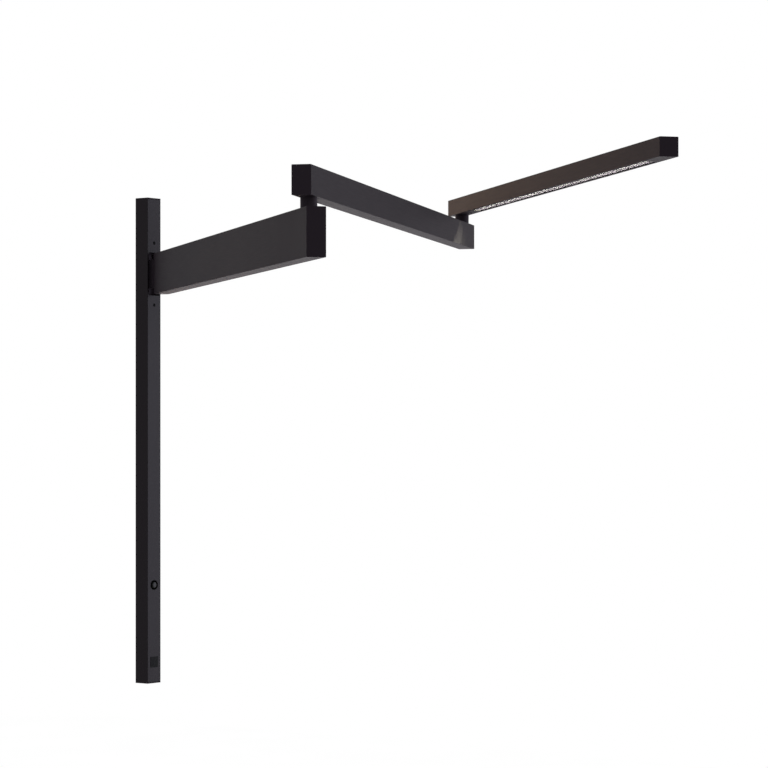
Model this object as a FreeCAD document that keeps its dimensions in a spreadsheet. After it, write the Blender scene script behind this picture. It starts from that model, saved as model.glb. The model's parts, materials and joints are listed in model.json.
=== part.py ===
"""Articulating wall lamp: a slim rail on the wall and three stacked arms that fold over each other.

Frame: the wall is the plane Y = 0, the room is towards -Y, +Z is up and X runs along the wall.
The origin is on the wall, behind the middle of the rail. The arms are built along their own X,
from the axis that they turn about, and are then turned and moved to their place.
"""
import FreeCAD, Part
import math
import os
import re
import Sketcher
from FreeCAD import Placement, Rotation, Vector

# ---------------------------------------------------------------- sizes, in mm and degrees
SIZES = {
    # wall rail
    "rail_width": 24.0,
    "rail_depth": 20.0,
    "rail_height": 600.0,
    "rail_wall": 2.0,
    "rail_corner": 0.5,
    "cap_face": 2.0,
    "cap_plug": 7.0,
    "plate_thickness": 2.0,
    "inside_gap": 0.2,
    "fixing_hole": 4.5,
    "fixing_inset": 32.0,
    "fixing_lug_height": 9.0,
    "fixing_lug_depth": 10.0,
    "grub_depth": 6.0,
    "grub_length": 6.6,
    # swivel of the first arm on the rail, placed from the rail's top
    "hinge_drop": 94.0,
    "hinge_standoff": 12.5,
    "slot_height": 53.0,
    "slot_corner": 2.0,
    "slot_recess": 6.0,
    "carrier_margin": 28.0,
    "carrier_screw_margin": 11.9,
    "carrier_screw_length": 10.0,
    "lead_groove_width": 7.0,
    "lead_groove_depth": 6.0,
    "lead_hole": 5.0,
    "tongue_thickness": 6.0,
    "tongue_height": 34.0,
    "tongue_head": 13.8,
    "hinge_pin_diameter": 8.0,
    "pin_cover": 2.0,
    "hinge_bush_outer": 11.0,
    "hinge_bush_length": 10.0,
    "hinge_flange": 13.4,
    "hinge_flange_thickness": 1.2,
    "hinge_play": 0.2,
    "hinge_block_face": 16.0,
    "hinge_block_length": 56.0,
    "jaw_depth": 1.6,
    "jaw_clearance": 0.3,
    # arms
    "arm_width": 20.0,
    "arm_wall": 1.8,
    "arm_corner": 0.6,
    "arm_gap": 11.0,
    "arm_1_height": 50.0,
    "arm_2_height": 30.0,
    "head_height": 20.0,
    "arm_1_reach": 690.0,
    "arm_2_reach": 735.0,
    "head_reach": 730.0,
    "overhang": 28.0,
    "arm_1_angle": 233.9,
    "arm_2_angle": 23.5,
    "head_angle": 231.7,
    # blocks inside the arms
    "elbow_piece_length": 116.0,
    "elbow_plug": 30.0,
    "elbow_shell": 3.8,
    "elbow_land": 30.0,
    "neck_block_tail": 20.0,
    "neck_block_length": 46.0,
    "far_block_near": 40.0,
    "far_block_beyond": 20.0,
    "far_lead_groove": 4.5,
    "head_end_piece": 36.0,
    "head_plug": 26.0,
    "head_roof": 3.5,
    # elbows
    "neck_diameter": 17.0,
    "shaft_diameter": 12.0,
    "shaft_bore": 7.0,
    "shaft_tail": 0.8,
    "running_gap": 0.05,
    "bush_outer": 15.0,
    "bush_length": 7.0,
    "slide_washer": 0.6,
    "steel_washer": 1.0,
    "spring_height": 1.6,
    "spring_plate": 0.5,
    "nut_diameter": 16.0,
    "nut_thickness": 5.0,
    "nut_slot": 2.4,
    "nut_bay_diameter": 17.0,
    "nut_bay_1": 18.0,
    "nut_bay_2": 14.0,
    "plug_thickness": 1.5,
    "face_gap": 0.1,
    "shaft_grip_1": 20.0,
    "shaft_grip_2": 12.0,
    "cable_way": 8.0,
    # light head
    "window_start": 66.0,
    "window_margin": 50.0,
    "window_width": 13.4,
    "window_recess": 1.0,
    "grid_thickness": 10.0,
    "grid_wall": 1.0,
    "grid_cells": 37,
    "grid_rim": 0.7,
    "diffuser_thickness": 1.2,
    "spreader_thickness": 3.0,
    "board_thickness": 1.6,
    "board_width": 12.0,
    "board_inset": 2.0,
    "chip_size": 3.0,
    "chip_height": 0.8,
    # push button and bare plate, placed from the rail's bottom
    "button_rise": 121.4,
    "button_diameter": 8.8,
    "button_stand": 1.0,
    "button_travel": 1.0,
    "button_cap": 3.0,
    "button_round": 2.0,
    "stem_diameter": 3.4,
    "bezel_outer": 12.0,
    "bezel_bore": 9.2,
    "bezel_sleeve": 10.4,
    "bezel_sleeve_length": 5.0,
    "bezel_stand": 0.6,
    "badge_rise": 26.2,
    "badge_side": 13.0,
    "badge_thickness": 0.5,
    # what is inside the rail
    "switch_level": 7.0,
    "switch_board_width": 16.0,
    "switch_board_height": 34.0,
    "switch_side": 6.0,
    "switch_body": 3.4,
    "switch_plunger": 0.8,
    "post_offset": 13.0,
    "post_diameter": 6.0,
    "post_tip": 1.0,
    "cable_drop": 110.0,
    "cable_hole": 12.0,
    "grommet_lip": 1.2,
    "grommet_rim": 1.5,
    "terminal_drop": 22.0,
    "terminal_length": 20.0,
    "terminal_depth": 11.0,
    "terminal_pitch": 5.5,
    "terminal_wire_hole": 3.0,
    "terminal_wire_depth": 4.0,
    "terminal_screw_hole": 3.4,
    "driver_gap": 12.0,
    "driver_length": 130.0,
    "driver_width": 17.0,
    "driver_depth": 13.0,
    "driver_corner": 2.0,
    # screws
    "screw": 4.0,
    "small_screw": 3.0,
    "cover_screw": 2.4,
    "cover_screw_length": 4.6,
    "cover_screw_offset": 6.0,
    "shaft_screw_length": 9.0,
    "screw_sink": 0.4,
    "socket_radius": 1.15,
    "small_socket_radius": 0.85,
    "socket_depth": 2.0,
    "screw_margin": 10.0,
}

# values that follow from the driving sizes
DERIVED = {
    "rail_inner": "rail_width - 2 * rail_wall",
    "rail_end": "rail_height / 2 - cap_face",
    "plate_end": "rail_end - cap_plug - inside_gap",
    "fixing_offset": "rail_height / 2 - fixing_inset",
    "grub_level": "plate_end - fixing_lug_height / 2",
    "hinge_height": "rail_height / 2 - hinge_drop",
    "hinge_y": "-rail_depth - hinge_standoff",
    "slot_bottom": "hinge_height - slot_height / 2",
    "carrier_height": "slot_height + 2 * carrier_margin",
    "carrier_bottom": "hinge_height - carrier_height / 2",
    "carrier_depth": "rail_depth - rail_wall - plate_thickness",
    "carrier_screw_offset": "slot_height / 2 + carrier_screw_margin",
    "tongue_bottom": "hinge_height - tongue_height / 2",
    "tongue_top": "hinge_height + tongue_height / 2",
    "jaw_opening": "tongue_height + 2 * hinge_flange_thickness + 2 * hinge_play",
    "arm_inner": "arm_width - 2 * arm_wall",
    "plug_fit": "arm_wall + inside_gap / 2",
    "plug_width": "arm_width - 2 * plug_fit",
    "arm_1_bottom": "hinge_height - arm_1_height / 2",
    "arm_1_top": "hinge_height + arm_1_height / 2",
    "arm_2_bottom": "arm_1_top + arm_gap",
    "arm_2_top": "arm_2_bottom + arm_2_height",
    "head_bottom": "arm_2_top + arm_gap",
    "head_top": "head_bottom + head_height",
    "arm_1_tube_end": "arm_1_reach + overhang - elbow_piece_length",
    "elbow_hollow_end": "arm_1_reach - elbow_land",
    "arm_2_start": "-overhang + cap_face",
    "arm_2_end": "arm_2_reach + overhang - cap_face",
    "neck_block_end": "neck_block_length - neck_block_tail",
    "far_block_start": "arm_2_reach - far_block_near",
    "head_profile_start": "head_end_piece - overhang",
    "head_profile_end": "head_reach - cap_face",
    "bush_bore": "shaft_diameter + 2 * running_gap",
    "cover_pocket": "inside_gap + cover_screw_length + inside_gap / 2 - arm_wall",
    "window_end": "head_reach - window_margin",
    "grid_start": "window_start + inside_gap",
    "grid_length": "window_end - window_start - 2 * inside_gap",
    "grid_pitch": "grid_length / grid_cells",
    "grid_bottom": "head_bottom + window_recess",
    "grid_nose": "window_width - inside_gap",
    "grid_top": "grid_bottom + grid_thickness",
    "first_cell": "grid_start + grid_pitch / 2",
    "board_bottom": "head_top - arm_wall - spreader_thickness - board_thickness",
    "button_height": "-rail_height / 2 + button_rise",
    "switch_top": "switch_level + board_thickness + switch_body + switch_plunger",
    "stem_low": "switch_top + button_travel + inside_gap",
    "badge_height": "-rail_height / 2 + badge_rise",
    "cable_height": "hinge_height - cable_drop",
    "terminal_bottom": "cable_height - terminal_drop - terminal_length",
    "driver_top": "terminal_bottom - driver_gap",
}
# places along the pieces where the same screw or hole comes twice
LUG_LEVELS = ("grub_level", "-grub_level")
POST_LEVELS = ("button_height + post_offset", "button_height - post_offset")
CARRIER_SCREW_LEVELS = ("hinge_height + carrier_screw_offset", "hinge_height - carrier_screw_offset")

doc = FreeCAD.newDocument("articulating_wall_lamp")
sheet = doc.addObject("Spreadsheet::Sheet", "sizes")
for row, (alias, number) in enumerate(SIZES.items(), start=1):
    sheet.set(f"A{row}", alias)
    sheet.set(f"B{row}", str(number))
    sheet.setAlias(f"B{row}", alias)
for row, (alias, formula) in enumerate(DERIVED.items(), start=len(SIZES) + 1):
    sheet.set(f"A{row}", alias)
    sheet.set(f"B{row}", f"={formula}")
    sheet.setAlias(f"B{row}", alias)
scratch = doc.addObject("Spreadsheet::Sheet", "scratch")
doc.recompute()


def bound(formula):
    """The formula with every size name pointed at the sheet, for setExpression."""
    def point(match):
        word = match.group()
        return f"sizes.{word}" if word in SIZES or word in DERIVED else word
    return re.sub(r"[a-z][a-z_0-9]*", point, formula)


def value(formula):
    """The formula's number at the present sizes, worked out in a cell that no piece is bound to."""
    scratch.set("A1", f"={bound(formula)}")
    scratch.recompute()
    return float(scratch.get("A1"))


# ---------------------------------------------------------------- outlines
def rectangle(left, right, low, high):
    return ("polygon", [(left, low), (right, low), (right, high), (left, high)])


def centred(width, low, high):
    return rectangle(f"-({width}) / 2", f"({width}) / 2", low, high)


def polygon(*corners):
    return ("polygon", list(corners))


def circle(across, up, diameter):
    return ("circle", across, up, diameter)


def hexagon(across, up, radius):
    """Outline of a hex socket, given by the radius of its corners."""
    return polygon(*[(f"{across} + {radius} * cos({turn})", f"{up} + {radius} * sin({turn})")
                     for turn in range(0, 360, 60)])


def draw_polygon(sketch, corners):
    first = sketch.GeometryCount
    places = [Vector(value(across), value(up), 0) for across, up in corners]
    for start, end in zip(places, places[1:] + places[:1]):
        sketch.addGeometry(Part.LineSegment(start, end))
    count = len(corners)
    for side in range(count):
        following = first + (side + 1) % count
        sketch.addConstraint(Sketcher.Constraint("Coincident", first + side, 2, following, 1))
    for side, (across, up) in enumerate(corners):
        for kind, formula, number in (("DistanceX", across, places[side].x),
                                      ("DistanceY", up, places[side].y)):
            index = sketch.addConstraint(Sketcher.Constraint(kind, -1, 1, first + side, 1, number))
            sketch.setExpression(f"Constraints[{index}]", bound(formula))


def draw_circle(sketch, across, up, diameter):
    centre = Vector(value(across), value(up), 0)
    ring = sketch.addGeometry(Part.Circle(centre, Vector(0, 0, 1), value(diameter) / 2))
    for kind, formula, number in (("DistanceX", across, centre.x), ("DistanceY", up, centre.y)):
        index = sketch.addConstraint(Sketcher.Constraint(kind, -1, 1, ring, 3, number))
        sketch.setExpression(f"Constraints[{index}]", bound(formula))
    index = sketch.addConstraint(Sketcher.Constraint("Diameter", ring, value(diameter)))
    sketch.setExpression(f"Constraints[{index}]", bound(diameter))


# ---------------------------------------------------------------- pieces
NEAR = 0.01
PIECES = {}
FRAMES = {}


def piece(label, frame):
    """A new body, to be placed in the frame of the rail or of one arm."""
    body = doc.addObject("PartDesign::Body", label)
    body.Label = label
    PIECES[label] = body
    FRAMES[label] = frame
    return body


def origin_feature(body, role):
    return next(feature for feature in body.Origin.OriginFeatures if feature.Role == role)


def sketch_on(body, plane, start, outlines):
    sketch = body.newObject("Sketcher::SketchObject", "sketch")
    sketch.AttachmentSupport = [(origin_feature(body, plane), "")]
    sketch.MapMode = "FlatFace"
    sketch.setExpression("AttachmentOffset.Base.z", bound(start))
    for outline in outlines:
        if outline[0] == "polygon":
            draw_polygon(sketch, outline[1])
        else:
            draw_circle(sketch, *outline[1:])
    return sketch


def add(body, plane, start, length, *outlines):
    """Material from the plane's offset `start`, as far as `length` along its normal."""
    sketch = sketch_on(body, plane, start, outlines)
    feature = body.newObject("PartDesign::Pad", "pad")
    feature.Profile = sketch
    feature.setExpression("Length", bound(length))
    doc.recompute()
    return feature


def cut(body, plane, start, length, *outlines):
    """The same run taken away, with proof that it met the material."""
    before = body.Shape.Volume
    sketch = sketch_on(body, plane, start, outlines)
    feature = body.newObject("PartDesign::Pocket", "pocket")
    feature.Profile = sketch
    feature.Reversed = True
    feature.setExpression("Length", bound(length))
    doc.recompute()
    if body.Shape.Volume > before - NEAR:
        raise RuntimeError(f"a pocket of {body.Label} cut nothing")
    return feature


def repeat(body, feature, axis, length, count):
    pattern = body.newObject("PartDesign::LinearPattern", "pattern")
    pattern.Originals = [feature]
    pattern.Direction = (origin_feature(body, axis), [""])
    pattern.setExpression("Length", bound(length))
    pattern.setExpression("Occurrences", bound(count))
    body.Tip = pattern
    doc.recompute()
    return pattern


def soften(body, kind, size_name, wanted):
    """A fillet or chamfer on each edge for which wanted(start, end) holds."""
    base = body.Tip
    names = []
    for number, edge in enumerate(base.Shape.Edges, start=1):
        ends = [vertex.Point for vertex in edge.Vertexes]
        if wanted(ends[0], ends[-1]):
            names.append(f"Edge{number}")
    feature = body.newObject(f"PartDesign::{kind}", kind.lower())
    feature.Base = (base, names)
    feature.setExpression("Radius" if kind == "Fillet" else "Size", bound(size_name))
    doc.recompute()
    return feature


def near(first, second):
    """Whether two places are the same, within a hundredth of a millimetre."""
    return abs(first - second) < NEAR


def runs_along(start, end, axis):
    """Whether an edge runs along one axis."""
    step = end - start
    return abs(getattr(step, axis)) > 0.9 * step.Length


def round_bar_edges(body, low, high):
    """Softens the four long outer edges of a bar that runs along X."""
    half_width = value("arm_width / 2")
    levels = (value(low), value(high))
    soften(body, "Fillet", "arm_corner",
           lambda start, end: runs_along(start, end, "x") and near(abs(start.y), half_width)
           and any(near(start.z, level) for level in levels))


def group(label, frame, members):
    """Separate solids that share one node."""
    compound = doc.addObject("Part::Compound", label)
    compound.Label = label
    compound.Links = members
    PIECES[label] = compound
    FRAMES[label] = frame
    for member in members:
        PIECES.pop(member.Label)
        FRAMES.pop(member.Label)
    return compound


def round_piece(label, frame, across, up_from, length, outer, bore=None):
    """An upright cylinder or ring; `across` is the place of its axis as (x, y)."""
    body = piece(label, frame)
    rings = [circle(across[0], across[1], outer)]
    if bore:
        rings.append(circle(across[0], across[1], bore))
    add(body, "XY_Plane", up_from, length, *rings)
    return body


# ---------------------------------------------------------------- the wall rail
def wall_plate():
    """Flat strip screwed to the wall; the rail slips over it and is held at its two end lugs."""
    body = piece("wall_plate", "rail")
    add(body, "XY_Plane", "-plate_end", "2 * plate_end",
        centred("rail_inner - inside_gap", "-plate_thickness", "0"))
    for level in LUG_LEVELS:
        add(body, "XY_Plane", f"{level} - fixing_lug_height / 2", "fixing_lug_height",
            centred("rail_inner - inside_gap", "-fixing_lug_depth", "-plate_thickness / 2"))
        cut(body, "YZ_Plane", "0", "rail_width", circle("-grub_depth", level, "small_screw"))
    cut(body, "XZ_Plane", "0", "plate_thickness",
        circle("0", "fixing_offset", "fixing_hole"),
        circle("0", "-fixing_offset", "fixing_hole"),
        circle("0", "cable_height", "cable_hole"))


def rail_profile():
    """Channel with a plain front: slot for the swivel, two screw holes and the button's hole."""
    body = piece("rail_profile", "rail")
    add(body, "XY_Plane", "-rail_end", "2 * rail_end",
        polygon(("-rail_width / 2", "0"), ("-rail_width / 2", "-rail_depth"),
                ("rail_width / 2", "-rail_depth"), ("rail_width / 2", "0"),
                ("rail_inner / 2", "0"), ("rail_inner / 2", "-rail_depth + rail_wall"),
                ("-rail_inner / 2", "-rail_depth + rail_wall"), ("-rail_inner / 2", "0")))
    front = value("-rail_depth")
    soften(body, "Fillet", "rail_corner",
           lambda start, end: runs_along(start, end, "z") and near(start.y, front))
    cut(body, "XZ_Plane", "rail_depth - rail_wall", "rail_wall",
        centred("rail_inner", "slot_bottom", "slot_bottom + slot_height"))
    slot_edge = value("rail_inner / 2")
    slot_ends = (value("slot_bottom"), value("slot_bottom + slot_height"))
    soften(body, "Fillet", "slot_corner",
           lambda start, end: runs_along(start, end, "y") and near(abs(start.x), slot_edge)
           and any(near(start.z, slot_end) for slot_end in slot_ends))
    screw_holes = [circle("0", level, "screw + 2 * inside_gap") for level in CARRIER_SCREW_LEVELS]
    cut(body, "XZ_Plane", "rail_depth - rail_wall", "rail_wall",
        circle("0", "button_height", "bezel_sleeve"), *screw_holes)
    for level in LUG_LEVELS:
        cut(body, "YZ_Plane", "rail_inner / 2", "rail_wall",
            circle("-grub_depth", level, "small_screw"))


def rail_cap(label, low_face, low_plug):
    body = piece(label, "rail")
    add(body, "XY_Plane", low_face, "cap_face",
        centred("rail_width", "-rail_depth", "0"))
    add(body, "XY_Plane", low_plug, "cap_plug",
        centred("rail_inner - inside_gap", "-rail_depth + rail_wall + inside_gap / 2", "-inside_gap"))
    front = value("-rail_depth")
    side = value("rail_width / 2")
    soften(body, "Fillet", "rail_corner",
           lambda start, end: runs_along(start, end, "z") and near(start.y, front)
           and near(abs(start.x), side))


def hinge_carrier():
    """Block behind the slot with the tongue that the first arm turns on."""
    body = piece("hinge_carrier", "rail")
    add(body, "XY_Plane", "carrier_bottom", "carrier_height",
        centred("rail_inner - inside_gap", "-plate_thickness - carrier_depth", "-plate_thickness"))
    cut(body, "XZ_Plane", "rail_depth - rail_wall - slot_recess", "slot_recess",
        centred("rail_inner", "slot_bottom", "slot_bottom + slot_height"))
    add(body, "XY_Plane", "tongue_bottom", "tongue_height",
        centred("tongue_thickness", "hinge_y", "-plate_thickness - carrier_depth / 2"))
    add(body, "XY_Plane", "tongue_bottom", "tongue_height", circle("0", "hinge_y", "tongue_head"))
    cut(body, "XY_Plane", "tongue_bottom", "tongue_height", circle("0", "hinge_y", "hinge_bush_outer"))
    cut(body, "XZ_Plane", "rail_depth - carrier_screw_length - 2 * screw_sink",
        "carrier_screw_length - rail_wall + 2 * screw_sink",
        *[circle("0", level, "screw") for level in CARRIER_SCREW_LEVELS])
    # way for the lead: up the back corner, then forward above the tongue
    cut(body, "XY_Plane", "carrier_bottom", "carrier_height",
        rectangle("rail_inner / 2 - lead_groove_width", "rail_inner / 2",
                  "-plate_thickness - lead_groove_depth", "-plate_thickness"))
    cut(body, "XZ_Plane", "plate_thickness", "carrier_depth",
        circle("(rail_inner - lead_groove_width) / 2", "tongue_top + lead_hole", "lead_hole"))


def carrier_screws():
    members = []
    for name, level in zip(("upper", "lower"), CARRIER_SCREW_LEVELS):
        body = piece(f"carrier_screw_{name}", "rail")
        add(body, "XZ_Plane", "rail_depth - screw_sink - carrier_screw_length",
            "carrier_screw_length", circle("0", level, "screw"))
        cut(body, "XZ_Plane", "rail_depth - screw_sink - socket_depth", "socket_depth",
            hexagon("0", level, "socket_radius"))
        members.append(body)
    group("carrier_screws", "rail", members)


def flanged_bush(name, frame, low, high, flange_low):
    body = piece(name, frame)
    bore = "hinge_pin_diameter + 2 * running_gap"
    add(body, "XY_Plane", low, f"{high} - ({low})",
        circle("0", "hinge_y", "hinge_bush_outer"), circle("0", "hinge_y", bore))
    add(body, "XY_Plane", flange_low, "hinge_flange_thickness",
        circle("0", "hinge_y", "hinge_flange"), circle("0", "hinge_y", bore))
    return body


def hinge_bushes():
    upper = flanged_bush("hinge_bush_upper", "rail", "tongue_top - hinge_bush_length", "tongue_top",
                         "tongue_top")
    lower = flanged_bush("hinge_bush_lower", "rail", "tongue_bottom",
                         "tongue_bottom + hinge_bush_length", "tongue_bottom - hinge_flange_thickness")
    group("hinge_bushes", "rail", [upper, lower])


def rail_grub_screws():
    members = []
    outer_end = "rail_width / 2 - screw_sink"
    for name, level in zip(("upper", "lower"), LUG_LEVELS):
        body = piece(f"rail_grub_{name}", "rail")
        add(body, "YZ_Plane", f"{outer_end} - grub_length", "grub_length",
            circle("-grub_depth", level, "small_screw"))
        cut(body, "YZ_Plane", f"{outer_end} - socket_depth", "socket_depth",
            hexagon("-grub_depth", level, "small_socket_radius"))
        members.append(body)
    group("rail_grub_screws", "rail", members)


def button_bezel():
    """Ring on the rail's front with a sleeve that passes through the wall."""
    body = piece("button_bezel", "rail")
    add(body, "XZ_Plane", "rail_depth", "bezel_stand",
        circle("0", "button_height", "bezel_outer"), circle("0", "button_height", "bezel_bore"))
    add(body, "XZ_Plane", "rail_depth - bezel_sleeve_length", "bezel_sleeve_length + bezel_stand / 2",
        circle("0", "button_height", "bezel_sleeve"), circle("0", "button_height", "bezel_bore"))


def push_button():
    """Cap with a rounded face and a stem that ends just short of the switch at full travel."""
    body = piece("push_button", "rail")
    cap_low = "rail_depth + button_stand - button_cap"
    add(body, "XZ_Plane", cap_low, "button_cap", circle("0", "button_height", "button_diameter"))
    add(body, "XZ_Plane", "stem_low", f"{cap_low} - stem_low",
        circle("0", "button_height", "stem_diameter"))
    front = value("-rail_depth - button_stand")
    soften(body, "Fillet", "button_round", lambda start, end: near(start.y, front))


def switch_board():
    body = piece("switch_board", "rail")
    add(body, "XZ_Plane", "switch_level", "board_thickness",
        centred("switch_board_width", "button_height - switch_board_height / 2",
                "button_height + switch_board_height / 2"))
    cut(body, "XZ_Plane", "switch_level", "board_thickness",
        *[circle("0", level, "small_screw") for level in POST_LEVELS])


def board_posts():
    """Two stepped posts on the wall plate; the board sits on their shoulders."""
    members = []
    for name, level in zip(("upper", "lower"), POST_LEVELS):
        body = piece(f"board_post_{name}", "rail")
        add(body, "XZ_Plane", "plate_thickness", "switch_level - plate_thickness",
            circle("0", level, "post_diameter"))
        add(body, "XZ_Plane", "switch_level", "board_thickness + post_tip",
            circle("0", level, "small_screw"))
        members.append(body)
    group("board_posts", "rail", members)


def touch_switch():
    body = piece("touch_switch", "rail")
    add(body, "XZ_Plane", "switch_level + board_thickness", "switch_body",
        centred("switch_side", "button_height - switch_side / 2", "button_height + switch_side / 2"))
    add(body, "XZ_Plane", "switch_top - switch_plunger", "switch_plunger",
        circle("0", "button_height", "stem_diameter"))


def led_driver():
    body = piece("led_driver", "rail")
    add(body, "XY_Plane", "driver_top - driver_length", "driver_length",
        centred("driver_width", "-plate_thickness - driver_depth", "-plate_thickness"))
    front = value("-plate_thickness - driver_depth")
    soften(body, "Chamfer", "driver_corner",
           lambda start, end: runs_along(start, end, "z") and near(start.y, front))


def terminal_block():
    """Three ways in a row: wire holes from below and above, screw holes from the front."""
    body = piece("terminal_block", "rail")
    add(body, "XY_Plane", "terminal_bottom", "terminal_length",
        centred("driver_width", "-plate_thickness - terminal_depth", "-plate_thickness"))
    ways = ("-terminal_pitch", "0", "terminal_pitch")
    wire_level = "-plate_thickness - terminal_wire_depth"
    cut(body, "XY_Plane", "terminal_bottom", "terminal_length",
        *[circle(way, wire_level, "terminal_wire_hole") for way in ways])
    middle = "terminal_bottom + terminal_length / 2"
    cut(body, "XZ_Plane", "plate_thickness + terminal_wire_depth",
        "terminal_depth - terminal_wire_depth",
        *[circle(way, middle, "terminal_screw_hole") for way in ways])


def cable_grommet():
    body = piece("cable_grommet", "rail")
    add(body, "XZ_Plane", "0", "plate_thickness + grommet_lip",
        circle("0", "cable_height", "cable_hole"), circle("0", "cable_height", "cable_way"))
    add(body, "XZ_Plane", "plate_thickness", "grommet_lip",
        circle("0", "cable_height", "cable_hole + 2 * grommet_rim"),
        circle("0", "cable_height", "cable_way"))


def badge_plate():
    body = piece("badge_plate", "rail")
    add(body, "XZ_Plane", "rail_depth", "badge_thickness",
        centred("badge_side", "badge_height - badge_side / 2", "badge_height + badge_side / 2"))


# ---------------------------------------------------------------- shared pieces of the arms
def arm_tube(label, frame, start, end, low, high):
    """Rectangular tube along X with slightly rounded outer corners."""
    body = piece(label, frame)
    add(body, "YZ_Plane", start, f"{end} - ({start})",
        centred("arm_width", low, high),
        centred("arm_inner", f"{low} + arm_wall", f"{high} - arm_wall"))
    round_bar_edges(body, low, high)
    return body


def end_cap(label, frame, face_start, plug_start, low, high):
    """Flush end plate with a plug that fits the tube."""
    body = piece(label, frame)
    add(body, "YZ_Plane", face_start, "cap_face", centred("arm_width", low, high))
    round_bar_edges(body, low, high)
    add(body, "YZ_Plane", plug_start, "cap_plug / 2 + cap_face / 2",
        centred("plug_width", f"{low} + plug_fit", f"{high} - plug_fit"))
    return body


def lower_elbow(number, frame, block, axis_x, top, bottom, bay, tube=None):
    """Bore for the two bushes from above and the nut's bay from below, with their pieces."""
    ceiling = f"{bottom} + {bay}"
    for body in filter(None, (block, tube)):
        cut(body, "XY_Plane", ceiling, f"{top} - ({ceiling})", circle(axis_x, "0", "bush_outer"))
        cut(body, "XY_Plane", bottom, bay, circle(axis_x, "0", "nut_bay_diameter"))
    axis = (axis_x, "0")
    upper = round_piece(f"elbow_{number}_bush_upper", frame, axis, f"{top} - bush_length",
                        "bush_length", "bush_outer", "bush_bore")
    lower = round_piece(f"elbow_{number}_bush_lower", frame, axis, ceiling,
                        "bush_length", "bush_outer", "bush_bore")
    group(f"elbow_{number}_bushes", frame, [upper, lower])
    round_piece(f"elbow_{number}_slide_washer", frame, axis, top, "slide_washer",
                "neck_diameter", "bush_bore")
    round_piece(f"elbow_{number}_steel_washer", frame, axis, f"{ceiling} - steel_washer",
                "steel_washer", "nut_diameter", "bush_bore")
    round_piece(f"elbow_{number}_plug", frame, axis, bottom, "plug_thickness", "nut_bay_diameter")


def spring_stack(label, frame, low):
    """Two coned spring washers, face to face, drawn as revolved strips."""
    members = []
    inner = "shaft_diameter / 2"
    outer = "nut_diameter / 2 - inside_gap"
    rim = f"({low} + spring_height / 2)"
    for name, side in (("lower", "-"), ("upper", "+")):
        body = piece(f"{label}_{name}", frame)
        tip = f"({rim} {side} spring_height / 2)"
        inward = "+" if side == "-" else "-"
        sketch = sketch_on(body, "XZ_Plane", "0", [polygon(
            (inner, tip), (outer, f"{rim} {side} spring_plate"), (outer, rim),
            (inner, f"{tip} {inward} spring_plate"))])
        turned = body.newObject("PartDesign::Revolution", "revolution")
        turned.Profile = sketch
        turned.ReferenceAxis = (sketch, ["V_Axis"])
        turned.Angle = 360
        doc.recompute()
        members.append(body)
    group(label, frame, members)


def upper_elbow(number, frame, under, grip, ceiling):
    """Hollow shaft fixed in the upper arm, its collar, the coned springs and the lock nut."""
    nut_top = f"{ceiling} - steel_washer - face_gap - spring_height"
    nut_low = f"{nut_top} - nut_thickness"
    shaft_low = f"({nut_low} - shaft_tail)"
    round_piece(f"elbow_{number}_shaft", frame, ("0", "0"), shaft_low,
                f"{under} + {grip} - {shaft_low}", "shaft_diameter", "shaft_bore")
    round_piece(f"elbow_{number}_collar", frame, ("0", "0"),
                f"{under} - arm_gap + slide_washer + face_gap",
                "arm_gap - slide_washer - face_gap", "neck_diameter", "shaft_diameter")
    nut = round_piece(f"elbow_{number}_lock_nut", frame, ("0", "0"), nut_low,
                      "nut_thickness", "nut_diameter", "shaft_diameter")
    for turn in (0, 90, 180, 270):
        cut(nut, "XY_Plane", nut_low, "nut_thickness",
            circle(f"nut_diameter / 2 * cos({turn})", f"nut_diameter / 2 * sin({turn})", "nut_slot"))
    spring_stack(f"elbow_{number}_springs", frame, nut_top)


def shaft_screw(label, frame, body, low, grip, outer_end):
    """Bore for the shaft from below and the cross screw that holds it, with its hole from the end."""
    cut(body, "XY_Plane", low, grip, circle("0", "0", "shaft_diameter"))
    screw = piece(label, frame)
    level = f"{low} + {grip} / 2"
    add(screw, "YZ_Plane", outer_end, f"-shaft_diameter / 2 - ({outer_end})",
        circle("0", level, "screw"))
    cut(screw, "YZ_Plane", outer_end, "socket_depth", hexagon("0", level, "socket_radius"))
    cut(body, "YZ_Plane", "-overhang", "overhang", circle("0", level, "screw"))


def cover_screws(label, frame, bottom, tube, places):
    """Small screws up through the tube's underside into the blocks; places are (x, y, block)."""
    members = []
    for across, up, block in places:
        hole = circle(across, up, "cover_screw")
        cut(tube, "XY_Plane", bottom, "arm_wall", hole)
        cut(block, "XY_Plane", f"{bottom} + arm_wall", "cover_pocket", hole)
        members.append(round_piece(f"{label}_{len(members) + 1}", frame, (across, up),
                                   f"{bottom} + inside_gap", "cover_screw_length", "cover_screw"))
    group(label, frame, members)


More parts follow.
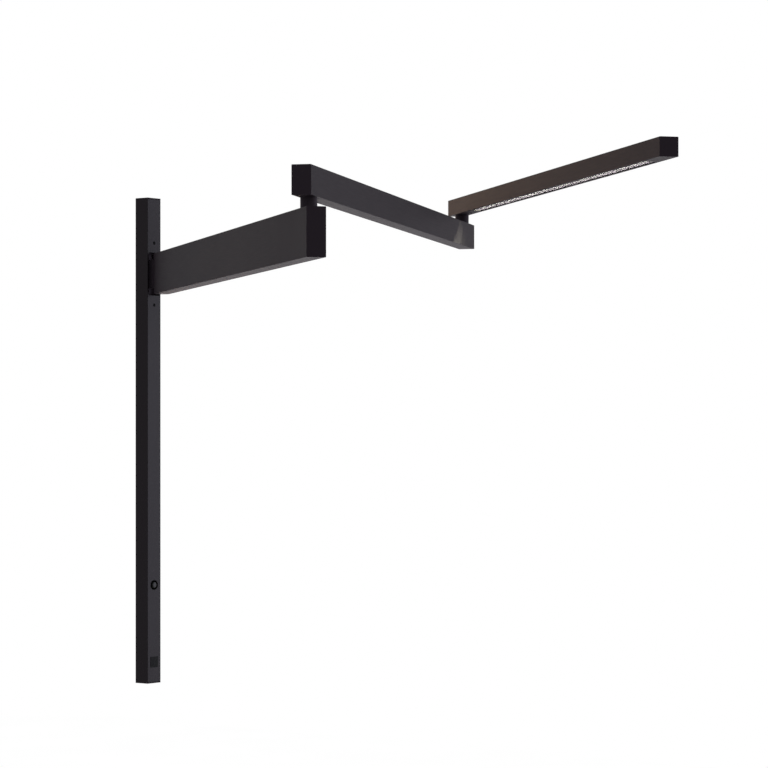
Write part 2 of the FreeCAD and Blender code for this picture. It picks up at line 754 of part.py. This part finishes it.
# ---------------------------------------------------------------- first arm
def arm_1_hinge_block(frame):
    """Rounded end with two jaws that take the rail's tongue, and a plug for the tube."""
    block = piece("arm_1_hinge_block", frame)
    add(block, "XY_Plane", "arm_1_bottom", "arm_1_height", circle("0", "0", "arm_width"))
    add(block, "YZ_Plane", "0", "hinge_block_face", centred("arm_width", "arm_1_bottom", "arm_1_top"))
    round_bar_edges(block, "arm_1_bottom", "arm_1_top")
    add(block, "YZ_Plane", "hinge_block_face", "hinge_block_length - hinge_block_face",
        centred("plug_width", "arm_1_bottom + plug_fit", "arm_1_top - plug_fit"))
    jaw_low = "hinge_height - jaw_opening / 2"
    cut(block, "XY_Plane", jaw_low, "jaw_opening",
        rectangle("-arm_width", "jaw_depth", "-arm_width", "arm_width"))
    cut(block, "XY_Plane", jaw_low, "jaw_opening",
        circle("0", "0", "tongue_head + 2 * jaw_clearance"))
    cut(block, "XY_Plane", "arm_1_bottom", "arm_1_height - pin_cover",
        circle("0", "0", "hinge_pin_diameter"))
    cut(block, "YZ_Plane", "hinge_pin_diameter / 2", "hinge_block_length - hinge_pin_diameter / 2",
        circle("0", "hinge_height", "cable_way"))
    return block


def arm_1_elbow_block(frame):
    """Closed end piece: plug for the tube, a hollow for the lead, then solid round the elbow."""
    block = piece("arm_1_elbow_block", frame)
    add(block, "YZ_Plane", "arm_1_tube_end", "elbow_piece_length",
        centred("arm_width", "arm_1_bottom", "arm_1_top"))
    round_bar_edges(block, "arm_1_bottom", "arm_1_top")
    add(block, "YZ_Plane", "arm_1_tube_end - elbow_plug", "elbow_plug",
        centred("plug_width", "arm_1_bottom + plug_fit", "arm_1_top - plug_fit"))
    cut(block, "YZ_Plane", "arm_1_tube_end - elbow_plug",
        "elbow_hollow_end - arm_1_tube_end + elbow_plug",
        centred("arm_width - 2 * elbow_shell", "arm_1_bottom + elbow_shell + cover_pocket",
                "arm_1_top - elbow_shell"))
    lower_elbow(1, frame, block, "arm_1_reach", "arm_1_top", "arm_1_bottom", "nut_bay_1")
    cut(block, "YZ_Plane", "elbow_hollow_end - cable_way", "elbow_land + cable_way",
        circle("0", "arm_1_bottom + plug_thickness + cable_way / 2 + inside_gap", "cable_way"))
    return block


def arm_1():
    frame = "arm_1"
    tube = arm_tube("arm_1_tube", frame, "hinge_block_face", "arm_1_tube_end",
                    "arm_1_bottom", "arm_1_top")
    hinge_block = arm_1_hinge_block(frame)
    round_piece("hinge_pin", frame, ("0", "0"), "arm_1_bottom + inside_gap",
                "arm_1_height - pin_cover - inside_gap", "hinge_pin_diameter")
    elbow_block = arm_1_elbow_block(frame)
    cover_screws("arm_1_screws", frame, "arm_1_bottom", tube, [
        ("hinge_block_face + screw_margin", "0", hinge_block),
        ("hinge_block_length - screw_margin", "0", hinge_block),
        ("arm_1_tube_end - screw_margin", "0", elbow_block),
        ("arm_1_tube_end - elbow_plug + screw_margin", "0", elbow_block)])


# ---------------------------------------------------------------- second arm
def arm_2():
    frame = "arm_2"
    tube = arm_tube("arm_2_tube", frame, "arm_2_start", "arm_2_end", "arm_2_bottom", "arm_2_top")
    end_cap("arm_2_near_cap", frame, "-overhang", "-overhang + cap_face",
            "arm_2_bottom", "arm_2_top")
    end_cap("arm_2_far_cap", frame, "arm_2_end", "arm_2_end - cap_plug / 2 - cap_face / 2",
            "arm_2_bottom", "arm_2_top")
    block_low = "arm_2_bottom + plug_fit"
    block_high = "arm_2_top - plug_fit"

    near_block = piece("arm_2_neck_block", frame)
    add(near_block, "YZ_Plane", "-neck_block_tail", "neck_block_length",
        centred("plug_width", block_low, block_high))
    shaft_screw("elbow_1_shaft_screw", frame, near_block, "arm_2_bottom", "shaft_grip_1",
                "-shaft_diameter / 2 - shaft_screw_length")
    # way for the lead: from the shaft's bore into the open tube
    cut(near_block, "XY_Plane", "arm_2_bottom + shaft_grip_1", "arm_2_height - shaft_grip_1",
        rectangle("-cable_way / 2", "neck_block_end", "-cable_way / 2", "cable_way / 2"))
    cut(tube, "XY_Plane", "arm_2_bottom", "arm_wall", circle("0", "0", "shaft_diameter"))
    upper_elbow(1, frame, "arm_2_bottom", "shaft_grip_1", "arm_1_bottom + nut_bay_1")

    far_block = piece("arm_2_elbow_block", frame)
    add(far_block, "YZ_Plane", "far_block_start", "far_block_near + far_block_beyond",
        centred("plug_width", block_low, block_high))
    lower_elbow(2, frame, far_block, "arm_2_reach", "arm_2_top", "arm_2_bottom", "nut_bay_2", tube)
    cut(far_block, "XY_Plane", block_low, "far_lead_groove",
        rectangle("far_block_start", "arm_2_reach", "-cable_way / 2", "cable_way / 2"))

    places = [(across, up, block)
              for across, block in (("neck_block_end - screw_margin", near_block),
                                    ("far_block_start + screw_margin", far_block),
                                    ("far_block_start + 2 * screw_margin", far_block))
              for up in ("-cover_screw_offset", "cover_screw_offset")]
    cover_screws("arm_2_screws", frame, "arm_2_bottom", tube, places)


# ---------------------------------------------------------------- light head
def head_neck_block(frame):
    """Closed end piece of the light head, with its plug for the profile and the lead's way."""
    neck = piece("head_neck_block", frame)
    add(neck, "YZ_Plane", "-overhang", "head_end_piece",
        centred("arm_width", "head_bottom", "head_top"))
    round_bar_edges(neck, "head_bottom", "head_top")
    add(neck, "YZ_Plane", "head_profile_start", "head_plug",
        centred("plug_width", "head_bottom + plug_fit", "head_top - plug_fit"))
    shaft_screw("elbow_2_shaft_screw", frame, neck, "head_bottom", "shaft_grip_2",
                "-overhang + screw_sink")
    cut(neck, "YZ_Plane", "-cable_way / 2", "head_profile_start + head_plug + cable_way / 2",
        centred("cable_way", "head_bottom + shaft_grip_2", "head_top - head_roof"))


def light_parts(frame):
    """From the top: spreader on the profile's roof, board with its chips, diffuser, grid."""
    spreader = piece("heat_spreader", frame)
    add(spreader, "YZ_Plane", "window_start", "window_end - window_start",
        centred("plug_width", "board_bottom + board_thickness", "head_top - arm_wall"))
    board = piece("led_board", frame)
    add(board, "YZ_Plane", "window_start + board_inset", "window_end - window_start - 2 * board_inset",
        centred("board_width", "board_bottom", "board_bottom + board_thickness"))
    chips = piece("led_chips", frame)
    chip = add(chips, "XY_Plane", "board_bottom - chip_height", "chip_height",
               rectangle("first_cell - chip_size / 2", "first_cell + chip_size / 2",
                         "-chip_size / 2", "chip_size / 2"))
    repeat(chips, chip, "X_Axis", "grid_length - grid_pitch", "grid_cells")
    diffuser = piece("diffuser", frame)
    add(diffuser, "YZ_Plane", "grid_start", "grid_length",
        centred("plug_width", "grid_top", "grid_top + diffuser_thickness"))


def anti_glare_grid(frame):
    """Row of open cells, one under each chip; its nose hangs in the window, its body on the ledges."""
    grid = piece("anti_glare_grid", frame)
    add(grid, "YZ_Plane", "grid_start", "grid_length",
        centred("plug_width", "head_bottom + arm_wall", "grid_top"))
    add(grid, "YZ_Plane", "grid_start", "grid_length",
        centred("grid_nose", "grid_bottom", "grid_top"))
    half_cell = "(grid_pitch - grid_wall) / 2"
    cell = cut(grid, "XY_Plane", "grid_bottom", "grid_thickness",
               rectangle(f"first_cell - {half_cell}", f"first_cell + {half_cell}",
                         "-grid_nose / 2 + grid_rim", "grid_nose / 2 - grid_rim"))
    repeat(grid, cell, "X_Axis", "grid_length - grid_pitch", "grid_cells")


def light_head():
    frame = "head"
    profile = arm_tube("head_profile", frame, "head_profile_start", "head_profile_end",
                       "head_bottom", "head_top")
    cut(profile, "XY_Plane", "head_bottom", "arm_wall",
        rectangle("window_start", "window_end", "-window_width / 2", "window_width / 2"))
    end_cap("head_front_cap", frame, "head_profile_end",
            "head_profile_end - cap_plug / 2 - cap_face / 2", "head_bottom", "head_top")
    head_neck_block(frame)
    upper_elbow(2, frame, "head_bottom", "shaft_grip_2", "arm_2_bottom + nut_bay_2")
    light_parts(frame)
    anti_glare_grid(frame)


# ---------------------------------------------------------------- build, place, check, write
def heading(angle):
    return Vector(math.cos(math.radians(angle)), math.sin(math.radians(angle)), 0)


wall_plate()
rail_profile()
rail_cap("rail_top_cap", "rail_end", "rail_end - cap_plug")
rail_cap("rail_bottom_cap", "-rail_height / 2", "-rail_end")
hinge_carrier()
carrier_screws()
hinge_bushes()
rail_grub_screws()
button_bezel()
push_button()
switch_board()
board_posts()
touch_switch()
led_driver()
terminal_block()
cable_grommet()
badge_plate()
arm_1()
arm_2()
light_head()

hinge_axis = Vector(0, value("hinge_y"), 0)
elbow_1_axis = hinge_axis + heading(value("arm_1_angle")) * value("arm_1_reach")
elbow_2_axis = elbow_1_axis + heading(value("arm_2_angle")) * value("arm_2_reach")
doc.removeObject("scratch")
UP = Vector(0, 0, 1)
PLACES = {
    "rail": Placement(),
    "arm_1": Placement(hinge_axis, Rotation(UP, float(sheet.get("arm_1_angle")))),
    "arm_2": Placement(elbow_1_axis, Rotation(UP, float(sheet.get("arm_2_angle")))),
    "head": Placement(elbow_2_axis, Rotation(UP, float(sheet.get("head_angle")))),
}
for label, item in PIECES.items():
    item.Placement = PLACES[FRAMES[label]]
doc.recompute()

for item in doc.Objects:
    if "Invalid" in item.State or "Error" in item.State:
        raise RuntimeError(f"{item.Label} failed: {item.State}")
os.makedirs("parts", exist_ok=True)
for label, item in PIECES.items():
    shape = item.Shape
    if shape.isNull() or not shape.isValid() or shape.Volume <= 0:
        raise RuntimeError(f"{label} has no valid solid")
    shape.exportStep(os.path.join("parts", f"{label}.step"))
    print(f"{label:26s} {FRAMES[label]:6s} solids {len(shape.Solids)} volume {shape.Volume:10.1f}")
print("axes", [tuple(round(number, 3) for number in axis)
               for axis in (hinge_axis, elbow_1_axis, elbow_2_axis)])
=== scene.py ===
"""Looks of the articulating wall lamp: the finish of every piece, the lit strip, the studio and the camera."""
import json
import math
import bpy
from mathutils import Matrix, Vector

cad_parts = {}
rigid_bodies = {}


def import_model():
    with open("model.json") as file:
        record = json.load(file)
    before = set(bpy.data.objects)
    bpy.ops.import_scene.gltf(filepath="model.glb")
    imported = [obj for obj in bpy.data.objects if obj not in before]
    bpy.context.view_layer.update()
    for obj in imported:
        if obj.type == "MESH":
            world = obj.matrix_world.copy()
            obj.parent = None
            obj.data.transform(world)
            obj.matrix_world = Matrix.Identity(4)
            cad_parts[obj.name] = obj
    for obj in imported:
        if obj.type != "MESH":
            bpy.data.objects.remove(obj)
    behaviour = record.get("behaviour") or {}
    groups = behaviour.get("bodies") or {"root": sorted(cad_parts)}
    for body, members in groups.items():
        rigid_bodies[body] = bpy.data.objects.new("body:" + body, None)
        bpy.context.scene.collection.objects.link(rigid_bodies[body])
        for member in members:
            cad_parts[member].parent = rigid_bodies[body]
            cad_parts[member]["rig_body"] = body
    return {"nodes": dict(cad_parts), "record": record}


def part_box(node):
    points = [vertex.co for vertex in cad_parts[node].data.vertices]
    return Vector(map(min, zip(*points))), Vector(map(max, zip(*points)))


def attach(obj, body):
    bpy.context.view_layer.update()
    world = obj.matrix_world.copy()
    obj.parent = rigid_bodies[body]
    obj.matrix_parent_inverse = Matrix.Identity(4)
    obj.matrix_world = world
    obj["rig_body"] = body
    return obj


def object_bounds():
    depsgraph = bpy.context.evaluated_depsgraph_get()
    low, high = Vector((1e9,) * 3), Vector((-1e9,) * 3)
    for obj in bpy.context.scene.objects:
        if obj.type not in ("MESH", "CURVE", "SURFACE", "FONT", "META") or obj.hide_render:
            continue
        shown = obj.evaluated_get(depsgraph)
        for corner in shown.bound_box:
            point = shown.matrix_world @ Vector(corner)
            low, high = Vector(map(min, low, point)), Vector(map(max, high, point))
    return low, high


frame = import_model()
cad_low, cad_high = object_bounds()

# ---------------------------------------------------------------- directions, in degrees from +X at rest
# The drawn grain of each arm runs along it. The rail stands upright and has no heading.
HEADINGS = {"first_arm": 233.9, "second_arm": 23.5, "light_head": 231.7}

# ---------------------------------------------------------------- camera, in metres, degrees and millimetres
CAMERA_PLACE = Vector((-2.4749, -2.2443, 0.0076))
CAMERA_HEADING = 37.04
CAMERA_LEVEL = 90
CAMERA_LENS = 125.6
SENSOR_WIDTH = 36.0
CAMERA_SHIFT = (-0.0003, 0.0657)

# ---------------------------------------------------------------- floor, in metres
FLOOR_DROP = 0.9
FLOOR_SIZE = 12.0
FLOOR_GREYS = (0.78, 0.80)
FLOOR_ROUGHNESS = 0.8
FLOOR_LIFT = 0.6

# ---------------------------------------------------------------- light, in metres and watts
WHITE = (1.0, 1.0, 1.0, 1.0)
WORLD_LIGHT = 0.5
WORLD_SEEN = 1.0
LAMP_TARGET = (0, -0.4, 0.15)
# name: place, size, power, colour
STUDIO_LAMPS = {
    "left": ((-1.8, -2.0, 1.0), (1.8, 1.8), 12.0, (0.92, 1.0, 1.0)),
    "right": ((2.2, -2.0, 0.2), (1.6, 2.0), 38.0, (0.84, 0.85, 1.0)),
    "low_back": ((2.0, 1.5, -0.85), (2.0, 1.2), 11.3, (1.0, 0.92, 1.0)),
    "warm_back": ((0.60, 0.52, 0.33), (0.5, 0.5), 2.4, (1.0, 0.62, 0.39)),
}
STRIP_POWER = 11.0
STRIP_SPREAD = 165
STRIP_COLOUR = (0.78, 1.0, 0.60)
STRIP_DROP = 0.0005
STRIP_WIDTH = 0.005

# ---------------------------------------------------------------- patterns
# name: scale in object space (higher is finer), octaves
PATTERNS = {
    "drawn_grain": (30.0, 3.0),
    "profile_cloud": (9.0, 4.0),
    "coat_peel": (1400.0, 2.0),
    "coat_cloud": (14.0, 3.0),
    "tool_marks": (900.0, 2.0),
    "mould_texture": (1800.0, 2.0),
    "mould_cloud": (40.0, 3.0),
    "glow_cloud": (60.0, 2.0),
    "floor_cloud": (3.0, 2.0),
}
# name: strength, height in metres
BUMPS = {
    "drawn_grain": (0.03, 0.0002),
    "coat_peel": (0.10, 0.00005),
    "tool_marks": (0.08, 0.00005),
    "mould_texture": (0.12, 0.00004),
}
GRAIN_LENGTHWISE = (1, 40, 40)
GRAIN_UPRIGHT = (40, 40, 1)
MARKS_STRETCH = (1, 1, 8)
RAMP_ENDS = (0.3, 0.7)

# ---------------------------------------------------------------- finishes, in linear colours
ARM_SHADES = ((0.0124, 0.0088, 0.0124), (0.0146, 0.0106, 0.0146))
ARM_ROUGHNESS = (0.58, 0.62)
ARM_SHEEN = 0.045
RAIL_SHADES = ((0.0060, 0.0036, 0.0060), (0.0072, 0.0046, 0.0072))
RAIL_ROUGHNESS = (0.37, 0.41)
RAIL_SHEEN = 0.088

# moulded or coated: dark shade, light shade, lowest roughness, specular level
MOULDED = {
    "black_steel": ((0.030, 0.023, 0.030), (0.036, 0.027, 0.036), 0.50, ARM_SHEEN),
    "neck_black": ((0.022, 0.017, 0.022), (0.026, 0.020, 0.026), 0.55, ARM_SHEEN),
    "screw_black": ((0.004, 0.004, 0.005), (0.006, 0.006, 0.007), 0.50, ARM_SHEEN),
    "black_plastic": ((0.0010, 0.0010, 0.0010), (0.0016, 0.0016, 0.0016), 0.50, 0.0),
    "grey_plastic": ((0.0020, 0.0020, 0.0022), (0.0030, 0.0030, 0.0032), 0.18, 0.10),
    "white_plastic": ((0.70, 0.69, 0.66), (0.80, 0.79, 0.76), 0.45, 0.4),
    "slide_plastic": ((0.010, 0.010, 0.010), (0.016, 0.016, 0.016), 0.50, 0.4),
    "board": ((0.68, 0.68, 0.66), (0.78, 0.78, 0.76), 0.30, 0.5),
    "green_board": ((0.02, 0.12, 0.05), (0.03, 0.16, 0.07), 0.25, 0.5),
    "grid": ((0.0068, 0.0046, 0.0084), (0.0080, 0.0054, 0.0100), 0.55, 0.1),
    "rubber": ((0.010, 0.010, 0.010), (0.016, 0.016, 0.016), 0.75, 0.2),
}
MOULDED_ROUGHNESS_RANGE = 0.12

# bare metal: dark shade, light shade, lowest roughness
METALS = {
    "steel": ((0.30, 0.30, 0.31), (0.52, 0.52, 0.53), 0.25),
    "bronze": ((0.42, 0.27, 0.12), (0.56, 0.38, 0.18), 0.35),
    "raw_aluminium": ((0.62, 0.62, 0.63), (0.78, 0.78, 0.79), 0.35),
}
METAL_ROUGHNESS_RANGE = 0.15

# lit from within: own colour, colour of its light, strength
GLOWING = {
    "led": ((0.95, 0.86, 0.60), (1.0, 0.93, 0.80), 1.5),
    "opal": ((0.92, 0.90, 0.86), (1.0, 0.95, 0.88), 0.9),
}
GLOWING_ROUGHNESS = 0.45
GLOWING_SHADE_LOW = 0.93
GLOWING_LIGHT_LOW = 0.95

# nodes whose finish isn't the one that their slot names
OWN_FINISHES = {
    "carrier_screws": "screw_black",
    "rail_grub_screws": "screw_black",
    "arm_1_screws": "screw_black",
    "arm_2_screws": "screw_black",
    "elbow_1_shaft_screw": "screw_black",
    "elbow_2_shaft_screw": "screw_black",
    "badge_plate": "screw_black",
    "elbow_1_collar": "neck_black",
    "elbow_2_collar": "neck_black",
}


# ---------------------------------------------------------------- node helpers
def new_material(name):
    """A material with its node tree and its main shader."""
    material = bpy.data.materials.new(name)
    material.use_nodes = True
    tree = material.node_tree
    shader = tree.nodes["Principled BSDF"]
    return material, tree, shader


def add_node(tree, kind, **settings):
    """A node with its own settings, such as its operation or its data type."""
    node = tree.nodes.new(kind)
    for key, setting in settings.items():
        setattr(node, key, setting)
    return node


def object_place(tree, heading=None, stretch=(1, 1, 1)):
    """Object coordinates, turned so that X runs along an arm, then stretched."""
    place = add_node(tree, "ShaderNodeTexCoord").outputs["Object"]
    if heading is not None:
        turn = add_node(tree, "ShaderNodeMapping", vector_type="POINT")
        turn.inputs["Rotation"].default_value = (0, 0, -math.radians(heading))
        tree.links.new(place, turn.inputs["Vector"])
        place = turn.outputs["Vector"]
    scale = add_node(tree, "ShaderNodeMapping", vector_type="POINT")
    scale.inputs["Scale"].default_value = stretch
    tree.links.new(place, scale.inputs["Vector"])
    return scale.outputs["Vector"]


def noise(tree, place, pattern):
    """The named pattern as a factor between 0 and 1."""
    scale, octaves = PATTERNS[pattern]
    node = add_node(tree, "ShaderNodeTexNoise")
    node.inputs["Scale"].default_value = scale
    node.inputs["Detail"].default_value = octaves
    tree.links.new(place, node.inputs["Vector"])
    return node.outputs["Fac"]


def ramp(tree, fac, low, high):
    """Colours or greys between two ends of a texture."""
    node = add_node(tree, "ShaderNodeValToRGB")
    for element, position, tone in zip(node.color_ramp.elements, RAMP_ENDS, (low, high)):
        element.position = position
        element.color = (*tone, 1.0) if isinstance(tone, tuple) else (tone, tone, tone, 1.0)
    tree.links.new(fac, node.inputs["Fac"])
    return node.outputs["Color"]


def bump(tree, shader, height, pattern):
    """Lifts the surface's shading by the named pattern."""
    strength, distance = BUMPS[pattern]
    node = add_node(tree, "ShaderNodeBump")
    node.inputs["Strength"].default_value = strength
    node.inputs["Distance"].default_value = distance
    tree.links.new(height, node.inputs["Height"])
    tree.links.new(node.outputs["Normal"], shader.inputs["Normal"])


def dimmed(colour, share):
    return tuple(share * part for part in colour)


# ---------------------------------------------------------------- making the finishes
def black_anodised(name, heading):
    """Satin black anodised extrusion: drawn grain along its length, a soft cloudiness in its colour."""
    material, tree, shader = new_material(name)
    upright = heading is None
    stretch = GRAIN_UPRIGHT if upright else GRAIN_LENGTHWISE
    grain = noise(tree, object_place(tree, heading, stretch), "drawn_grain")
    cloud = noise(tree, object_place(tree), "profile_cloud")
    shades = RAIL_SHADES if upright else ARM_SHADES
    roughness = RAIL_ROUGHNESS if upright else ARM_ROUGHNESS
    tree.links.new(ramp(tree, cloud, *shades), shader.inputs["Base Color"])
    tree.links.new(ramp(tree, grain, *roughness), shader.inputs["Roughness"])
    shader.inputs["Specular IOR Level"].default_value = RAIL_SHEEN if upright else ARM_SHEEN
    bump(tree, shader, grain, "drawn_grain")
    return material


def black_cast(name):
    """Fine matt black powder coat on the cast and machined ends."""
    material, tree, shader = new_material(name)
    place = object_place(tree)
    peel = noise(tree, place, "coat_peel")
    cloud = noise(tree, place, "coat_cloud")
    tree.links.new(ramp(tree, cloud, *ARM_SHADES), shader.inputs["Base Color"])
    tree.links.new(ramp(tree, cloud, *ARM_ROUGHNESS), shader.inputs["Roughness"])
    shader.inputs["Specular IOR Level"].default_value = ARM_SHEEN
    bump(tree, shader, peel, "coat_peel")
    return material


def metal(name, dark, light, rough):
    """Turned or milled bare metal."""
    material, tree, shader = new_material(name)
    marks = noise(tree, object_place(tree, stretch=MARKS_STRETCH), "tool_marks")
    tree.links.new(ramp(tree, marks, dark, light), shader.inputs["Base Color"])
    tree.links.new(ramp(tree, marks, rough, rough + METAL_ROUGHNESS_RANGE), shader.inputs["Roughness"])
    shader.inputs["Metallic"].default_value = 1.0
    bump(tree, shader, marks, "tool_marks")
    return material


def moulded(name, dark, light, rough, specular):
    """Moulded plastic, rubber, board or coated steel with a fine even texture."""
    material, tree, shader = new_material(name)
    place = object_place(tree)
    texture = noise(tree, place, "mould_texture")
    cloud = noise(tree, place, "mould_cloud")
    tree.links.new(ramp(tree, cloud, dark, light), shader.inputs["Base Color"])
    tree.links.new(ramp(tree, texture, rough, rough + MOULDED_ROUGHNESS_RANGE), shader.inputs["Roughness"])
    shader.inputs["Specular IOR Level"].default_value = specular
    bump(tree, shader, texture, "mould_texture")
    return material


def glowing(name, colour, light_colour, strength):
    """A pale piece that gives off some of the strip's light."""
    material, tree, shader = new_material(name)
    cloud = noise(tree, object_place(tree), "glow_cloud")
    shade = ramp(tree, cloud, dimmed(colour, GLOWING_SHADE_LOW), colour)
    tree.links.new(shade, shader.inputs["Base Color"])
    glow = ramp(tree, cloud, dimmed(light_colour, GLOWING_LIGHT_LOW), light_colour)
    tree.links.new(glow, shader.inputs["Emission Color"])
    shader.inputs["Emission Strength"].default_value = strength
    shader.inputs["Roughness"].default_value = GLOWING_ROUGHNESS
    return material


def new_finish(finish, name, heading):
    """The material of a finish, under its own name."""
    if finish == "black_anodised":
        return black_anodised(name, heading)
    if finish == "black_cast":
        return black_cast(name)
    if finish in MOULDED:
        return moulded(name, *MOULDED[finish])
    if finish in METALS:
        return metal(name, *METALS[finish])
    return glowing(name, *GLOWING[finish])


def dress_nodes():
    """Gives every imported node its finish; a drawn profile's goes by its body, for the run of the grain."""
    made = {}
    for subpart in frame["record"]["subparts"]:
        item = frame["nodes"][subpart["node"]]
        body = item["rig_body"]
        finish = OWN_FINISHES.get(subpart["node"], subpart["material_slot"])
        name = f"{finish}_{body}" if finish == "black_anodised" else finish
        if name not in made:
            made[name] = new_finish(finish, name, HEADINGS.get(body))
        item.data.materials.clear()
        item.data.materials.append(made[name])


# ---------------------------------------------------------------- studio
def area_lamp(name, place, size, power, colour):
    """A rectangular lamp that shines straight down until it is turned."""
    lamp = bpy.data.lights.new(name, "AREA")
    lamp.shape = "RECTANGLE"
    lamp.size, lamp.size_y = size
    lamp.energy = power
    lamp.color = colour
    item = bpy.data.objects.new(name, lamp)
    bpy.context.scene.collection.objects.link(item)
    item.location = place
    return item


def seen_directly(tree):
    """1 where the camera, gloss or glass looks at a surface, 0 where it only lights the object."""
    path = add_node(tree, "ShaderNodeLightPath")
    camera_or_gloss = add_node(tree, "ShaderNodeMath", operation="MAXIMUM")
    or_glass = add_node(tree, "ShaderNodeMath", operation="MAXIMUM")
    tree.links.new(path.outputs["Is Camera Ray"], camera_or_gloss.inputs[0])
    tree.links.new(path.outputs["Is Glossy Ray"], camera_or_gloss.inputs[1])
    tree.links.new(camera_or_gloss.outputs[0], or_glass.inputs[0])
    tree.links.new(path.outputs["Is Transmission Ray"], or_glass.inputs[1])
    return or_glass.outputs[0]


def studio():
    """White all round where it is seen, a plain level where it lights, and the soft lamps."""
    world = bpy.data.worlds.new("studio")
    bpy.context.scene.world = world
    world.use_nodes = True
    tree = world.node_tree
    background = tree.nodes["Background"]
    mix = add_node(tree, "ShaderNodeMix", data_type="FLOAT")
    mix.inputs["A"].default_value = WORLD_LIGHT
    mix.inputs["B"].default_value = WORLD_SEEN
    tree.links.new(seen_directly(tree), mix.inputs["Factor"])
    tree.links.new(mix.outputs["Result"], background.inputs["Strength"])
    background.inputs["Color"].default_value = WHITE
    for name, (place, size, power, colour) in STUDIO_LAMPS.items():
        item = area_lamp(name, place, size, power, colour)
        item.rotation_mode = "QUATERNION"
        item.rotation_quaternion = (Vector(LAMP_TARGET) - Vector(place)).to_track_quat("-Z", "Y")


def strip_lamp():
    """The strip's own light at the top of the grid's cells; it moves with the head.

    It shines down through the cells and makes the pool of light on the end of the second arm.
    """
    low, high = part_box("anti_glare_grid")
    middle = (low + high) / 2
    heading = math.radians(HEADINGS["light_head"])
    run = Vector((math.cos(heading), math.sin(heading), 0))
    corners = [Vector(vertex.co).dot(run) for vertex in frame["nodes"]["anti_glare_grid"].data.vertices]
    size = (max(corners) - min(corners), STRIP_WIDTH)
    place = (middle.x, middle.y, high.z - STRIP_DROP)
    item = area_lamp("strip_light", place, size, STRIP_POWER, STRIP_COLOUR)
    item.data.spread = math.radians(STRIP_SPREAD)
    item.rotation_euler = (0, 0, heading)
    item.visible_camera = False
    item.visible_glossy = False
    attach(item, "light_head")


def floor():
    """A plain pale floor that keeps the lamp's shadow and shows white where it is seen."""
    bpy.ops.mesh.primitive_plane_add(size=FLOOR_SIZE, location=(0, 0, cad_low.z - FLOOR_DROP))
    item = bpy.context.object
    item.name = "floor"
    material, tree, shader = new_material("floor_white")
    shade = noise(tree, object_place(tree), "floor_cloud")
    tree.links.new(ramp(tree, shade, *FLOOR_GREYS), shader.inputs["Base Color"])
    shader.inputs["Roughness"].default_value = FLOOR_ROUGHNESS
    shader.inputs["Specular IOR Level"].default_value = 0.0
    shader.inputs["Emission Color"].default_value = WHITE
    lift = add_node(tree, "ShaderNodeMath", operation="MULTIPLY")
    lift.inputs[1].default_value = FLOOR_LIFT
    tree.links.new(seen_directly(tree), lift.inputs[0])
    tree.links.new(lift.outputs[0], shader.inputs["Emission Strength"])
    item.data.materials.append(material)


def camera():
    """The photograph's camera: level, with its picture shifted up by the lens."""
    lens = bpy.data.cameras.new("camera")
    lens.sensor_width = SENSOR_WIDTH
    lens.lens = CAMERA_LENS
    lens.shift_x, lens.shift_y = CAMERA_SHIFT
    item = bpy.data.objects.new("camera", lens)
    bpy.context.scene.collection.objects.link(item)
    item.location = CAMERA_PLACE
    item.rotation_euler = (math.radians(CAMERA_LEVEL), 0, math.radians(CAMERA_HEADING - 90))
    bpy.context.scene.camera = item


dress_nodes()
studio()
strip_lamp()
floor()
camera()
bpy.context.scene.view_settings.view_transform = "Standard"
